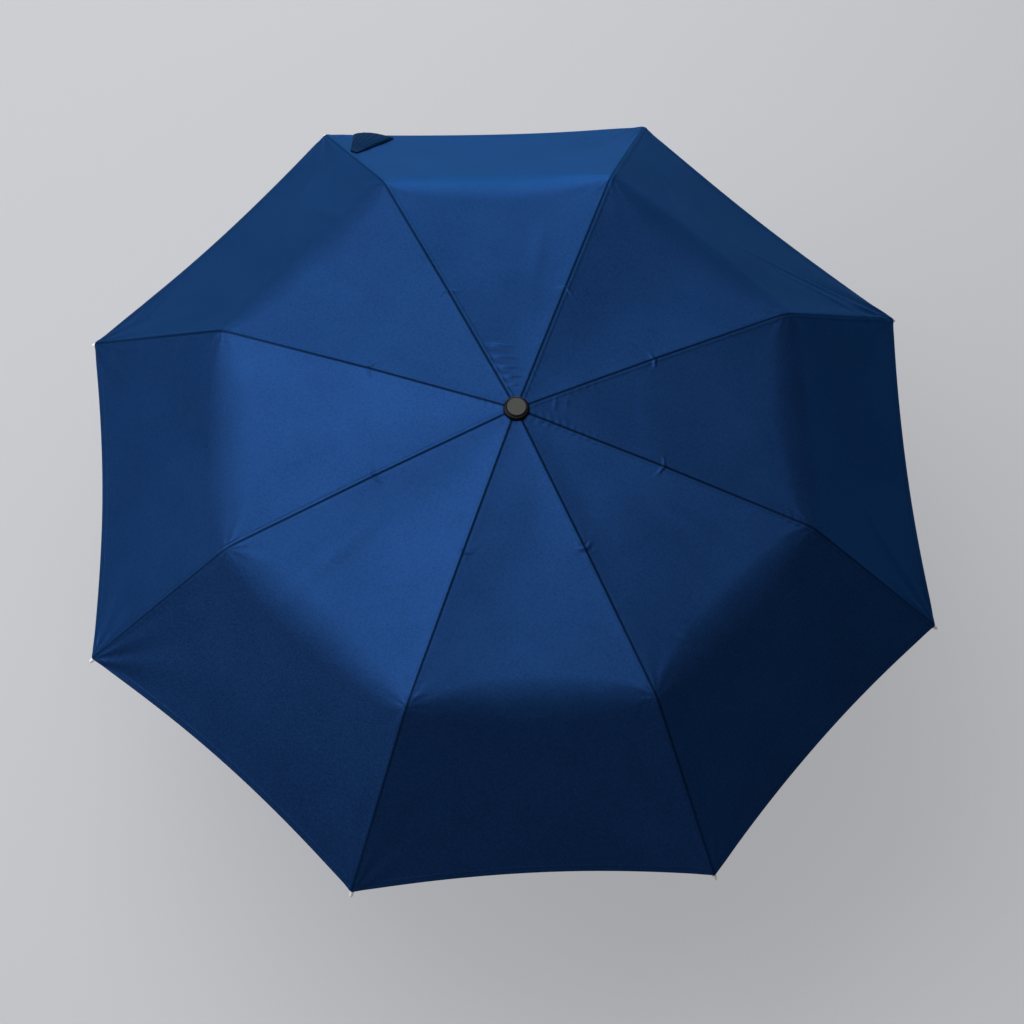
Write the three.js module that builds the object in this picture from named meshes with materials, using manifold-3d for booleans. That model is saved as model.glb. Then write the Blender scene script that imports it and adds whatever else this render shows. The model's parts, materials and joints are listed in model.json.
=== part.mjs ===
// Folding umbrella, three-fold frame with eight ribs, shown open.
// Millimetres, +Z up along the shaft, origin at the centre of the handle's flat end face.
// Rib 1 lies along +X and the others follow every 45 degrees, counter-clockwise from above.

import * as THREE from 'three';
import * as BufferGeometryUtils from 'three/addons/utils/BufferGeometryUtils.js';
import Module from 'manifold-3d';

const wasm = await Module();
wasm.setup();

const deg = THREE.MathUtils.degToRad;

// ---- Driving dimensions -------------------------------------------------

const RIB_COUNT = 8;

// Rib pivots, in the plane of one rib.
const NOTCH_Z = 570;          // height of the pivots of the top ribs
const NOTCH_PIVOT_R = 9.5;    // distance of those pivots from the shaft's axis
const TOP_RIB_LENGTH = 155;
const MID_RIB_LENGTH = 166.5;
const OUTER_RIB_LENGTH = 220;
const TIP_LENGTH = 16;        // white tip at the end of each outer rib
const TOP_SLOPE = 7;          // slopes below horizontal when open, degrees
const MID_SLOPE = 9;
const OUTER_SLOPE = 40.5;
const ELBOW_OFFSET = 1.9;     // first joint's pin above the rib's centre line
const KNEE_OFFSET = -1.7;     // second joint's pin below the rib's centre line

// Stretchers, which run from the runner to the top ribs.
const STRETCHER_LENGTH = 88;
const STRETCHER_AT = 84;      // along the top rib from its pivot
const STRETCHER_SIDE = 3.4;   // beside the rib, so that both fold past each other
const RUNNER_PIVOT_R = 11;

// Shaft: three telescoping tubes, thickest at the top.
const UPPER_TUBE_R = 6.5;
const MIDDLE_TUBE_R = 5.3;
const LOWER_TUBE_R = 4.2;
const TUBE_WALL = 0.6;
const SLIDE_GAP = 0.3;
const TUBE_TRAVEL = 149;
const TUBE_OVERLAP = 30;
const UPPER_TUBE_BELOW_NOTCH = 205;

// Handle.
const END_CAP_HEIGHT = 6;
const CUP_BOTTOM = 58;
const CUP_FLOOR = 61;
const CUP_TOP = 78;
const CUP_INNER_R = 22.3;
const CUP_OUTER_R = 24.3;
const GRIP_END_R = 15.5;
const LOWER_TUBE_START = 12;
const BUTTON_Z = 42;

// Cloth.
const CLOTH_GAP = 3.9;        // cloth's underside above the rib's centre line
const CLOTH_GAP_AT_TIP = 2.7;
const CLOTH_THICKNESS = 0.5;
const CLOTH_HOLE_R = 5.6;
const CLOTH_END = 213;        // where the cloth's corner ends along the outer rib
const HEM_SCALLOP = 12.5;     // how far the hem curves in between two ribs
const SAG_AT_ELBOW = 3;
const SAG_AT_KNEE = 4.5;
const SAG_AT_HEM = 2;
const KNEE_ROUNDING = 22;     // half-width of the soft bend midway between two ribs

const GAP = 0.3;              // between pieces that are fastened together

// ---- Materials ----------------------------------------------------------

function material(color, roughness, metalness) {
  return new THREE.MeshStandardMaterial({ color, roughness, metalness });
}

const clothNavy = material(0x1b3f73, 0.75, 0);
const strapNavy = material(0x0f2a52, 0.8, 0);
const capOlive = material(0x484c46, 0.6, 0);
const plasticBlack = material(0x141517, 0.35, 0);
const plasticMatt = material(0x1a1b1d, 0.65, 0);
const gripRubber = material(0x17181a, 0.85, 0);
const tipWhite = material(0xe4e4de, 0.45, 0);
const tubeSteel = material(0x9da1a6, 0.3, 1);
const tubeBlack = material(0x1c1d20, 0.35, 0.6);
const ribSteel = material(0x2a2c30, 0.4, 0.8);
const ribAluminium = material(0xb4b7ba, 0.4, 0.9);
const springSteel = material(0x8d9196, 0.3, 1);

// ---- Solids and booleans ------------------------------------------------

function toManifold(geometry) {
  const bare = geometry.clone();
  bare.deleteAttribute('normal');
  bare.deleteAttribute('uv');
  const merged = BufferGeometryUtils.mergeVertices(bare, 1e-4);
  return new wasm.Manifold(new wasm.Mesh({
    numProp: 3,
    vertProperties: new Float32Array(merged.attributes.position.array),
    triVerts: new Uint32Array(merged.index.array),
  }));
}

function toGeometry(solid) {
  const mesh = solid.getMesh();
  const geometry = new THREE.BufferGeometry();
  geometry.setAttribute('position', new THREE.BufferAttribute(mesh.vertProperties, 3));
  geometry.setIndex(new THREE.BufferAttribute(mesh.triVerts, 1));
  geometry.computeVertexNormals();
  return geometry;
}

function combine(joined, cuts = []) {
  let solid = toManifold(joined[0]);
  for (const geometry of joined.slice(1)) solid = solid.add(toManifold(geometry));
  for (const geometry of cuts) solid = solid.subtract(toManifold(geometry));
  return toGeometry(solid);
}

function named(name, geometry, mat) {
  const mesh = new THREE.Mesh(geometry, mat);
  mesh.name = name;
  return mesh;
}

// A solid of revolution about Z from [radius, z] points that close on themselves or on the axis.
function turned(profile, segments = 32) {
  const points = profile.map(([r, z]) => new THREE.Vector2(r, z));
  return new THREE.LatheGeometry(points, segments).rotateX(Math.PI / 2);
}

// Revolution about Z with a closed ring section, given in either direction.
function ring(innerR, outerR, z0, z1, segments = 32) {
  return turned([[innerR, z0], [outerR, z0], [outerR, z1], [innerR, z1], [innerR, z0]], segments);
}

function box(x0, x1, y0, y1, z0, z1) {
  const geometry = new THREE.BoxGeometry(x1 - x0, y1 - y0, z1 - z0);
  return geometry.translate((x0 + x1) / 2, (y0 + y1) / 2, (z0 + z1) / 2);
}

function cylinderAlongY(x, z, r, y0, y1, segments = 10) {
  return new THREE.CylinderGeometry(r, r, y1 - y0, segments).translate(x, (y0 + y1) / 2, z);
}

// A plate whose outline is drawn in X and Z, from y0 to y1.
function plate(shape, y0, y1) {
  const geometry = new THREE.ExtrudeGeometry(shape, {
    depth: y1 - y0, bevelEnabled: false, curveSegments: 4,
  });
  const basis = new THREE.Matrix4().makeBasis(
    new THREE.Vector3(1, 0, 0), new THREE.Vector3(0, 0, 1), new THREE.Vector3(0, -1, 0),
  );
  return geometry.applyMatrix4(basis).translate(0, y1, 0);
}

// A bar along X with the section drawn in Y and Z.
function barAlongX(section, x0, x1) {
  const geometry = new THREE.ExtrudeGeometry(section, { depth: x1 - x0, bevelEnabled: false });
  const basis = new THREE.Matrix4().makeBasis(
    new THREE.Vector3(0, 1, 0), new THREE.Vector3(0, 0, 1), new THREE.Vector3(1, 0, 0),
  );
  return geometry.applyMatrix4(basis).translate(x0, 0, 0);
}

// A U-shaped channel open towards the underside of the rib.
function channelSection(width, height, wall) {
  const w = width / 2;
  const h = height / 2;
  const inner = w - wall;
  return new THREE.Shape([
    [-w, -h], [-inner, -h], [-inner, h - wall], [inner, h - wall],
    [inner, -h], [w, -h], [w, h], [-w, h],
  ].map(([y, z]) => new THREE.Vector2(y, z)));
}

// The outline of a lug: a round eye at (x, z) joined to a bar whose end is at barX.
function lugShape(x, z, eyeR, holeR, barX, barLow, barHigh) {
  const shape = new THREE.Shape();
  if (x > barX) {
    shape.moveTo(barX, barHigh);
    shape.lineTo(barX, barLow);
    shape.absarc(x, z, eyeR, deg(-75), deg(75), false);
  } else {
    shape.moveTo(barX, barLow);
    shape.lineTo(barX, barHigh);
    shape.absarc(x, z, eyeR, deg(105), deg(255), false);
  }
  shape.closePath();
  if (holeR > 0) {
    const hole = new THREE.Path();
    hole.absarc(x, z, holeR, 0, 2 * Math.PI, true);
    shape.holes.push(hole);
  }
  return shape;
}

// ---- Rib pieces, each along +X from its inner pivot ----------------------

const PIN_R = 0.55;
const EYE_HOLE_R = 0.9;

const TOP_RIB = { width: 3.4, height: 3.0, wall: 0.6, eyeR: 1.7, tongue: 0.7 };
const MID_RIB = { width: 2.8, height: 2.6, wall: 0.6, eyeR: 1.6, tongue: 0.6 };
const OUTER_RIB = { width: 2.2, height: 1.8, eyeR: 1.5 };
const FORK_CLEARANCE = 0.3;
const CHEEK = 0.6;

// Two cheeks on either side of a tongue, with the pin that goes through it.
function fork(tongueHalf, pinZ, eyeR, barX, barLow, barHigh) {
  const inner = tongueHalf + FORK_CLEARANCE;
  const outer = inner + CHEEK;
  const outline = lugShape(0, pinZ, eyeR, 0, barX, barLow, barHigh);
  return [
    plate(outline, inner, outer),
    plate(outline, -outer, -inner),
    cylinderAlongY(0, pinZ, PIN_R, -outer - 0.3, outer + 0.3, 6),
  ];
}

function topRibGeometry() {
  const { width, height, wall, eyeR, tongue } = TOP_RIB;
  const h = height / 2;
  const channelEnd = TOP_RIB_LENGTH - 8;
  return combine([
    barAlongX(channelSection(width, height, wall), 7.5, channelEnd),
    plate(lugShape(0, 0, eyeR, EYE_HOLE_R, 11, -h + 0.3, h - 0.2), -0.8, 0.8),
    plate(lugShape(TOP_RIB_LENGTH, ELBOW_OFFSET, 1.6, EYE_HOLE_R, channelEnd - 3, -h + 0.3, h - 0.2),
      -tongue, tongue),
  ]);
}

function midRibGeometry() {
  const { width, height, wall, eyeR, tongue } = MID_RIB;
  const h = height / 2;
  const channelEnd = MID_RIB_LENGTH - 8;
  return combine([
    barAlongX(channelSection(width, height, wall), 7, channelEnd),
    ...fork(TOP_RIB.tongue, ELBOW_OFFSET, eyeR, 10, -h + 0.2, h - 0.2),
    plate(lugShape(MID_RIB_LENGTH, KNEE_OFFSET, 1.5, EYE_HOLE_R, channelEnd - 3, -h + 0.3, h - 0.2),
      -tongue, tongue),
  ]);
}

function outerRibGeometry() {
  const { width, height, eyeR } = OUTER_RIB;
  const w = width / 2;
  const h = height / 2;
  const end = OUTER_RIB_LENGTH - TIP_LENGTH - GAP;
  return combine([
    box(5, end, -w, w, -h, h),
    ...fork(MID_RIB.tongue, KNEE_OFFSET, eyeR, 9, -h + 0.2, h - 0.2),
  ]);
}

function tipGeometry() {
  const start = OUTER_RIB_LENGTH - TIP_LENGTH;
  const end = OUTER_RIB_LENGTH;
  const profile = [
    [0, start], [1.7, start], [2.2, start + 3], [2.2, end - 2.2], [1.3, end], [0, end],
  ];
  return turned(profile, 8).rotateY(Math.PI / 2);
}

// The stretcher starts at its pivot on the runner; its rivet reaches the outer face only.
function stretcherGeometry() {
  const half = 1.1;
  const h = 1.2;
  const eyeR = 2;
  return combine([
    box(1.2, STRETCHER_LENGTH - 1.2, -half, half, -h, h),
    cylinderAlongY(0, 0, eyeR, -half, half, 12),
    cylinderAlongY(STRETCHER_LENGTH, 0, eyeR, -half, half, 12),
    cylinderAlongY(STRETCHER_LENGTH, 0, 1.1, half - 0.4, half + 0.6, 8),
  ], [
    cylinderAlongY(0, 0, EYE_HOLE_R, -half - 1, half + 1, 8),
  ]);
}

// ---- Where the rib pivots are when open, as [radius, z] ------------------

const along = (from, slope, length) => [
  from[0] + length * Math.cos(deg(slope)),
  from[1] - length * Math.sin(deg(slope)),
];
const raised = (from, slope, height) => [
  from[0] + height * Math.sin(deg(slope)),
  from[1] + height * Math.cos(deg(slope)),
];
// Where the next rib's centre line starts, when it turns about a pin beside both centre lines.
function nextStart(end, slope, nextSlope, pinOffset) {
  return raised(raised(end, slope, pinOffset), nextSlope, -pinOffset);
}
const NOTCH_PIVOT = [NOTCH_PIVOT_R, NOTCH_Z];
const TOP_END = along(NOTCH_PIVOT, TOP_SLOPE, TOP_RIB_LENGTH);
const MID_START = nextStart(TOP_END, TOP_SLOPE, MID_SLOPE, ELBOW_OFFSET);
const MID_END = along(MID_START, MID_SLOPE, MID_RIB_LENGTH);
const OUTER_START = nextStart(MID_END, MID_SLOPE, OUTER_SLOPE, KNEE_OFFSET);

const STRETCHER_PIN = along(NOTCH_PIVOT, TOP_SLOPE, STRETCHER_AT);
const STRETCHER_RUN = STRETCHER_PIN[0] - RUNNER_PIVOT_R;
const STRETCHER_RISE = Math.sqrt(STRETCHER_LENGTH ** 2 - STRETCHER_RUN ** 2);
const RUNNER_Z = STRETCHER_PIN[1] - STRETCHER_RISE;
const STRETCHER_ANGLE = Math.atan2(STRETCHER_RISE, STRETCHER_RUN);

// ---- Shaft pieces -------------------------------------------------------

function notchGeometry() {
  const z = NOTCH_Z;
  const socketR = UPPER_TUBE_R + GAP;
  const outerR = 12.2;
  const body = turned([
    [socketR, z - 4], [outerR - 0.8, z - 4], [outerR, z - 3.2], [outerR, z + 2.2], [outerR - 1.4, z + 3],
    [4.6, z + 3], [4.6, z + 1.2], [socketR, z + 1.2], [socketR, z - 4],
  ], 32);
  const slot = (angle) => box(7.4, 14, -1.1, 1.1, -5, 1.8).translate(0, 0, z).rotateZ(angle);
  const pin = (angle) => cylinderAlongY(NOTCH_PIVOT_R, z, PIN_R, -1.6, 1.6, 6).rotateZ(angle);
  const slotted = toManifold(combine([body], ribAngles.map(slot)));
  return toGeometry(ribAngles.reduce((solid, angle) => solid.add(toManifold(pin(angle))), slotted));
}

function runnerGeometry() {
  const bore = UPPER_TUBE_R + SLIDE_GAP;
  const z = RUNNER_Z;
  const body = turned([
    [bore, z - 20], [8.6, z - 20], [8.6, z - 8], [9.4, z - 5], [13, z - 3.4], [14, z - 2.6],
    [14, z + 2.6], [13.4, z + 3.2], [8.6, z + 3.2], [8.6, z + 6], [bore, z + 6], [bore, z - 20],
  ], 32);
  const y0 = STRETCHER_SIDE - 1.5;
  const y1 = STRETCHER_SIDE + 1.5;
  const slot = (angle) => box(8.7, 16, y0, y1, z - 6, z + 5).rotateZ(angle);
  const pin = (angle) => cylinderAlongY(RUNNER_PIVOT_R, z, PIN_R, y0 - 0.4, y1 + 0.4, 6).rotateZ(angle);
  const slotted = toManifold(combine([body], ribAngles.map(slot)));
  return toGeometry(ribAngles.reduce((solid, angle) => solid.add(toManifold(pin(angle))), slotted));
}

const UPPER_TUBE_END = NOTCH_Z - UPPER_TUBE_BELOW_NOTCH;
const MIDDLE_TUBE_END = UPPER_TUBE_END - TUBE_TRAVEL;

function capGeometry() {
  const z = NOTCH_Z;
  return turned([
    [0, z - 0.5], [4.2, z - 0.5], [4.2, z + 5.5], [9.9, z + 5.5], [10.1, z + 6], [10.1, z + 9.6],
    [9.7, z + 10.2], [0, z + 10.2],
  ], 28);
}

function capRingGeometry() {
  const z = NOTCH_Z;
  return turned([
    [10.5, z + 5.3], [12.8, z + 5.3], [13.6, z + 5.9], [13.5, z + 6.9], [12.6, z + 7.8],
    [11.2, z + 8.2], [10.5, z + 8], [10.5, z + 5.3],
  ], 28);
}

// ---- Handle pieces ------------------------------------------------------

function endCapGeometry() {
  const body = turned([
    [0, 0], [GRIP_END_R - 1.2, 0], [GRIP_END_R, 1.2], [GRIP_END_R, END_CAP_HEIGHT], [0, END_CAP_HEIGHT],
  ], 40);
  const recess = box(-5, 5, 6.5, 11, -1, 4);
  const bar = new THREE.CylinderGeometry(0.9, 0.9, 6, 8).translate(0, 8.75, 1.6);
  return toGeometry(toManifold(combine([body], [recess])).add(toManifold(bar)));
}

function gripGeometry() {
  const bore = LOWER_TUBE_R + GAP;
  const z0 = END_CAP_HEIGHT + GAP;
  const z1 = CUP_BOTTOM - GAP;
  const outline = new THREE.SplineCurve([
    [GRIP_END_R, z0], [16.4, 16], [15.4, 30], [15.8, 44], [17.6, z1],
  ].map(([r, z]) => new THREE.Vector2(r, z))).getPoints(8).map((p) => [p.x, p.y]);
  const body = turned([[bore, z0], ...outline, [bore, z1], [bore, z0]], 28);
  const window = box(-4.4, 4.4, -22, -7.4, BUTTON_Z - 7, BUTTON_Z + 7);
  return combine([body], [window]);
}

function tipCupGeometry() {
  const bore = LOWER_TUBE_R + GAP;
  return turned([
    [bore, CUP_BOTTOM], [17.6, CUP_BOTTOM], [21, CUP_BOTTOM + 2], [CUP_OUTER_R - 0.6, CUP_FLOOR + 4],
    [CUP_OUTER_R, CUP_FLOOR + 9], [CUP_OUTER_R, CUP_TOP - 0.6], [CUP_OUTER_R - 0.6, CUP_TOP],
    [CUP_INNER_R + 0.4, CUP_TOP], [CUP_INNER_R, CUP_TOP - 0.6], [CUP_INNER_R, CUP_FLOOR + 3],
    [CUP_INNER_R - 3, CUP_FLOOR], [bore, CUP_FLOOR], [bore, CUP_BOTTOM],
  ], 28);
}

function buttonGeometry() {
  const face = new THREE.Shape();
  const w = 4;
  const h = 6.6;
  const r = 3;
  face.moveTo(-w + r, -h);
  face.lineTo(w - r, -h);
  face.absarc(w - r, -h + r, r, deg(-90), 0, false);
  face.lineTo(w, h - r);
  face.absarc(w - r, h - r, r, 0, deg(90), false);
  face.lineTo(-w + r, h);
  face.absarc(-w + r, h - r, r, deg(90), deg(180), false);
  face.lineTo(-w, -h + r);
  face.absarc(-w + r, -h + r, r, deg(180), deg(270), false);
  const geometry = new THREE.ExtrudeGeometry(face, {
    depth: 5.2, bevelEnabled: true, bevelThickness: 0.6, bevelSize: 0.6, bevelOffset: -0.6,
    bevelSegments: 1, curveSegments: 3,
  });
  return geometry.rotateX(Math.PI / 2).translate(0, -12.3, BUTTON_Z);
}

class Helix extends THREE.Curve {
  constructor(radius, length, turns) {
    super();
    this.radius = radius;
    this.length = length;
    this.turns = turns;
  }

  getPoint(t, target = new THREE.Vector3()) {
    const angle = 2 * Math.PI * this.turns * t;
    return target.set(this.radius * Math.cos(angle), this.radius * Math.sin(angle), this.length * t);
  }
}

// A coil spring standing on the XY plane.
function coilSpring(radius, length, turns, wireR, stepsPerTurn) {
  const section = new THREE.Shape();
  const corners = 4;
  for (let i = 0; i < corners; i += 1) {
    const angle = (2 * Math.PI * i) / corners;
    section[i ? 'lineTo' : 'moveTo'](wireR * Math.cos(angle), wireR * Math.sin(angle));
  }
  return new THREE.ExtrudeGeometry(section, {
    steps: turns * stepsPerTurn, bevelEnabled: false, extrudePath: new Helix(radius, length, turns),
  });
}

// ---- Cloth --------------------------------------------------------------

// Distance along the rib from the shaft's axis to each joint, on the cloth.
const ARC_ELBOW = NOTCH_PIVOT_R + TOP_RIB_LENGTH;
const ARC_KNEE = ARC_ELBOW + MID_RIB_LENGTH;
const ARC_HEM = ARC_KNEE + CLOTH_END;

const mix = (a, b, t) => a + (b - a) * t;
const clamp01 = (t) => Math.min(1, Math.max(0, t));
const smooth = (t) => clamp01(t) ** 2 * (3 - 2 * clamp01(t));

// Centre line of the rib at an arc distance, as [radius, z]; the top rib's line runs on to the axis.
function ribLine(arc) {
  if (arc <= ARC_ELBOW) return along(NOTCH_PIVOT, TOP_SLOPE, arc - NOTCH_PIVOT_R);
  if (arc <= ARC_KNEE) return along(MID_START, MID_SLOPE, arc - ARC_ELBOW);
  return along(OUTER_START, OUTER_SLOPE, arc - ARC_KNEE);
}

// Slope at an arc distance, turned gradually within the given half-width of each joint.
function slopeAt(arc, halfWidth) {
  const atElbow = smooth((arc - ARC_ELBOW + halfWidth) / (2 * halfWidth));
  const atKnee = smooth((arc - ARC_KNEE + halfWidth) / (2 * halfWidth));
  return TOP_SLOPE + (MID_SLOPE - TOP_SLOPE) * atElbow + (OUTER_SLOPE - MID_SLOPE) * atKnee;
}

// How far the soft bend at the knee lies inside the sharp one, midway between two ribs.
function kneeCut(arc) {
  const reach = clamp01(1 - Math.abs(arc - ARC_KNEE) / KNEE_ROUNDING);
  return (reach ** 2) * KNEE_ROUNDING * deg(OUTER_SLOPE - MID_SLOPE) * 0.25;
}

function sagAt(arc) {
  if (arc <= ARC_ELBOW) return SAG_AT_ELBOW * (arc / ARC_ELBOW);
  if (arc <= ARC_KNEE) return mix(SAG_AT_ELBOW, SAG_AT_KNEE, (arc - ARC_ELBOW) / MID_RIB_LENGTH);
  return mix(SAG_AT_KNEE, SAG_AT_HEM, (arc - ARC_KNEE) / CLOTH_END);
}

// A point of the cloth: arc along the rib, across from -1 to 1 between two ribs, and height over it.
function clothPoint(ribAngle, arc, across, height) {
  const gap = arc > ARC_KNEE
    ? mix(CLOTH_GAP, CLOTH_GAP_AT_TIP, (arc - ARC_KNEE) / CLOTH_END)
    : CLOTH_GAP;
  const hollow = 1 - across ** 2;
  const pulled = arc - HEM_SCALLOP * hollow * smooth((arc - ARC_KNEE) / CLOTH_END);
  const [lineR, lineZ] = ribLine(pulled);
  const slope = deg(slopeAt(pulled, 3));
  const lift = gap + height - hollow * (sagAt(pulled) + kneeCut(pulled));
  const r = lineR + lift * Math.sin(slope);
  const z = lineZ + lift * Math.cos(slope);
  const halfAngle = Math.PI / RIB_COUNT;
  const chordX = r * Math.cos(halfAngle);
  const chordY = r * Math.sin(halfAngle) * across;
  return new THREE.Vector3(chordX, chordY, z)
    .applyAxisAngle(new THREE.Vector3(0, 0, 1), ribAngle + halfAngle);
}

const CLOTH_ARCS = [
  CLOTH_HOLE_R, 40, 100, ARC_ELBOW, 225, 285, ARC_KNEE - 12, ARC_KNEE, ARC_KNEE + 12,
  ARC_KNEE + 70, ARC_KNEE + 145, ARC_HEM,
];
const CLOTH_ACROSS = 4;

function canopyGeometry() {
  const around = RIB_COUNT * CLOTH_ACROSS;
  const rows = CLOTH_ARCS.length;
  const positions = [];
  for (const height of [CLOTH_THICKNESS, 0]) {
    for (const arc of CLOTH_ARCS) {
      for (let i = 0; i < around; i += 1) {
        const panel = Math.floor(i / CLOTH_ACROSS);
        const across = (2 * (i % CLOTH_ACROSS)) / CLOTH_ACROSS - 1;
        positions.push(...clothPoint(ribAngles[panel], arc, across, height));
      }
    }
  }
  const index = [];
  const vertex = (side, row, i) => (side * rows + row) * around + (i % around);
  const quad = (a, b, c, d) => index.push(a, b, c, a, c, d);
  for (let i = 0; i < around; i += 1) {
    for (let row = 0; row < rows - 1; row += 1) {
      quad(vertex(0, row, i), vertex(0, row + 1, i), vertex(0, row + 1, i + 1), vertex(0, row, i + 1));
      quad(vertex(1, row, i), vertex(1, row, i + 1), vertex(1, row + 1, i + 1), vertex(1, row + 1, i));
    }
    const last = rows - 1;
    quad(vertex(0, last, i), vertex(1, last, i), vertex(1, last, i + 1), vertex(0, last, i + 1));
    quad(vertex(0, 0, i), vertex(0, 0, i + 1), vertex(1, 0, i + 1), vertex(1, 0, i));
  }
  const geometry = new THREE.BufferGeometry();
  geometry.setAttribute('position', new THREE.Float32BufferAttribute(positions, 3));
  geometry.setIndex(index);
  geometry.computeVertexNormals();
  return geometry;
}

// The closing strap, folded over the hem of the panel between ribs 3 and 4, close to rib 4.
// Its corners are given as distances from rib 4 and from the hem.
const STRAP_PANEL = 2;
const STRAP_INNER_CORNERS = [[6, 74], [12, 84]];
const STRAP_OUTER_CORNERS = [[28, 5], [74, 3]];
const STRAP_CLEAR = CLOTH_THICKNESS + 0.6;
const STRAP_THICKNESS = 3;

// A point of the strap: 0 to 1 towards the hem, 0 to 1 away from the rib.
function strapPoint(outwards, away, height) {
  const corner = (corners, i) => mix(corners[0][i], corners[1][i], away);
  const fromRib = mix(corner(STRAP_INNER_CORNERS, 0), corner(STRAP_OUTER_CORNERS, 0), outwards);
  const fromHem = mix(corner(STRAP_INNER_CORNERS, 1), corner(STRAP_OUTER_CORNERS, 1), outwards);
  const arc = ARC_HEM - fromHem;
  const halfPanel = ribLine(arc)[0] * Math.sin(Math.PI / RIB_COUNT);
  return clothPoint(ribAngles[STRAP_PANEL], arc, 1 - fromRib / halfPanel, height);
}

function strapGeometry() {
  const columns = 4;
  const rows = 4;
  const positions = [];
  for (const height of [STRAP_CLEAR + STRAP_THICKNESS, STRAP_CLEAR]) {
    for (let row = 0; row <= rows; row += 1) {
      for (let column = 0; column <= columns; column += 1) {
        positions.push(...strapPoint(row / rows, 1 - column / columns, height));
      }
    }
  }
  const index = [];
  const vertex = (side, row, column) => (side * (rows + 1) + row) * (columns + 1) + column;
  const quad = (a, b, c, d) => index.push(a, b, c, a, c, d);
  for (let row = 0; row < rows; row += 1) {
    for (let column = 0; column < columns; column += 1) {
      const corner = (side, dr, dc) => vertex(side, row + dr, column + dc);
      quad(corner(0, 0, 0), corner(0, 1, 0), corner(0, 1, 1), corner(0, 0, 1));
      quad(corner(1, 0, 0), corner(1, 0, 1), corner(1, 1, 1), corner(1, 1, 0));
    }
    quad(vertex(0, row, 0), vertex(1, row, 0), vertex(1, row + 1, 0), vertex(0, row + 1, 0));
    quad(vertex(0, row, columns), vertex(0, row + 1, columns),
      vertex(1, row + 1, columns), vertex(1, row, columns));
  }
  for (let column = 0; column < columns; column += 1) {
    quad(vertex(0, 0, column), vertex(0, 0, column + 1), vertex(1, 0, column + 1), vertex(1, 0, column));
    quad(vertex(0, rows, column), vertex(1, rows, column),
      vertex(1, rows, column + 1), vertex(0, rows, column + 1));
  }
  const geometry = new THREE.BufferGeometry();
  geometry.setAttribute('position', new THREE.Float32BufferAttribute(positions, 3));
  geometry.setIndex(index);
  geometry.computeVertexNormals();
  return geometry;
}

// ---- Assembly -----------------------------------------------------------

const ribAngles = Array.from({ length: RIB_COUNT }, (_, i) => (2 * Math.PI * i) / RIB_COUNT);
const umbrella = new THREE.Group();

// Handle and lower tube.
umbrella.add(named('handle_end_cap', endCapGeometry(), plasticBlack));
umbrella.add(named('handle_grip', gripGeometry(), gripRubber));
umbrella.add(named('tip_cup', tipCupGeometry(), plasticBlack));
umbrella.add(named('push_button', buttonGeometry(), plasticBlack));
const buttonSpring = named('button_spring', coilSpring(1.8, 3.2, 3, 0.3, 8), springSteel);
buttonSpring.rotation.x = Math.PI / 2;
buttonSpring.position.set(0, -8.1, BUTTON_Z);
umbrella.add(buttonSpring);

const lowerTubeTop = MIDDLE_TUBE_END + TUBE_OVERLAP;
umbrella.add(named('lower_tube',
  ring(LOWER_TUBE_R - TUBE_WALL, LOWER_TUBE_R, LOWER_TUBE_START, lowerTubeTop, 24), tubeSteel));
const openingSpring = named('opening_spring',
  coilSpring(2.6, lowerTubeTop - LOWER_TUBE_START - 4, 9, 0.5, 7), springSteel);
openingSpring.position.z = LOWER_TUBE_START + 2;
umbrella.add(openingSpring);

// Middle tube with the bush at its lower end.
const middleTubeTop = UPPER_TUBE_END + TUBE_OVERLAP;
umbrella.add(named('middle_tube',
  ring(MIDDLE_TUBE_R - TUBE_WALL, MIDDLE_TUBE_R, MIDDLE_TUBE_END, middleTubeTop, 24), tubeSteel));
umbrella.add(named('middle_bush',
  ring(LOWER_TUBE_R + SLIDE_GAP, 6.4, MIDDLE_TUBE_END - 4.6, MIDDLE_TUBE_END - GAP, 24), plasticMatt));

// Upper tube with its bush, the crown that holds the ribs, and the cap over the cloth.
const UPPER_BUSH_HEIGHT = 7;
umbrella.add(named('upper_tube', ring(UPPER_TUBE_R - TUBE_WALL, UPPER_TUBE_R,
  UPPER_TUBE_END + UPPER_BUSH_HEIGHT + GAP, NOTCH_Z + 0.8, 28), tubeBlack));
umbrella.add(named('upper_bush', ring(MIDDLE_TUBE_R + SLIDE_GAP, 7.3,
  UPPER_TUBE_END, UPPER_TUBE_END + UPPER_BUSH_HEIGHT, 28), plasticMatt));
umbrella.add(named('crown', notchGeometry(), plasticMatt));
umbrella.add(named('top_cap', capGeometry(), capOlive));
umbrella.add(named('cap_ring', capRingGeometry(), plasticBlack));
umbrella.add(named('runner', runnerGeometry(), plasticMatt));
umbrella.add(named('canopy', canopyGeometry(), clothNavy));
umbrella.add(named('tie_strap', strapGeometry(), strapNavy));

// Eight ribs, each with its own chain of pivots.
const topRib = topRibGeometry();
const midRib = midRibGeometry();
const outerRib = outerRibGeometry();
const ribTip = tipGeometry();
const stretcher = stretcherGeometry();

function pivot(x, y, z, slope) {
  const group = new THREE.Group();
  group.position.set(x, y, z);
  group.rotation.y = slope;
  return group;
}

// A rib that turns about a pin beside its centre line; what is added to hung stays on that line.
function hinged(length, pinOffset, slope) {
  const hinge = pivot(length, 0, pinOffset, slope);
  const hung = new THREE.Group();
  hung.position.z = -pinOffset;
  hinge.add(hung);
  return { hinge, hung };
}

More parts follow.
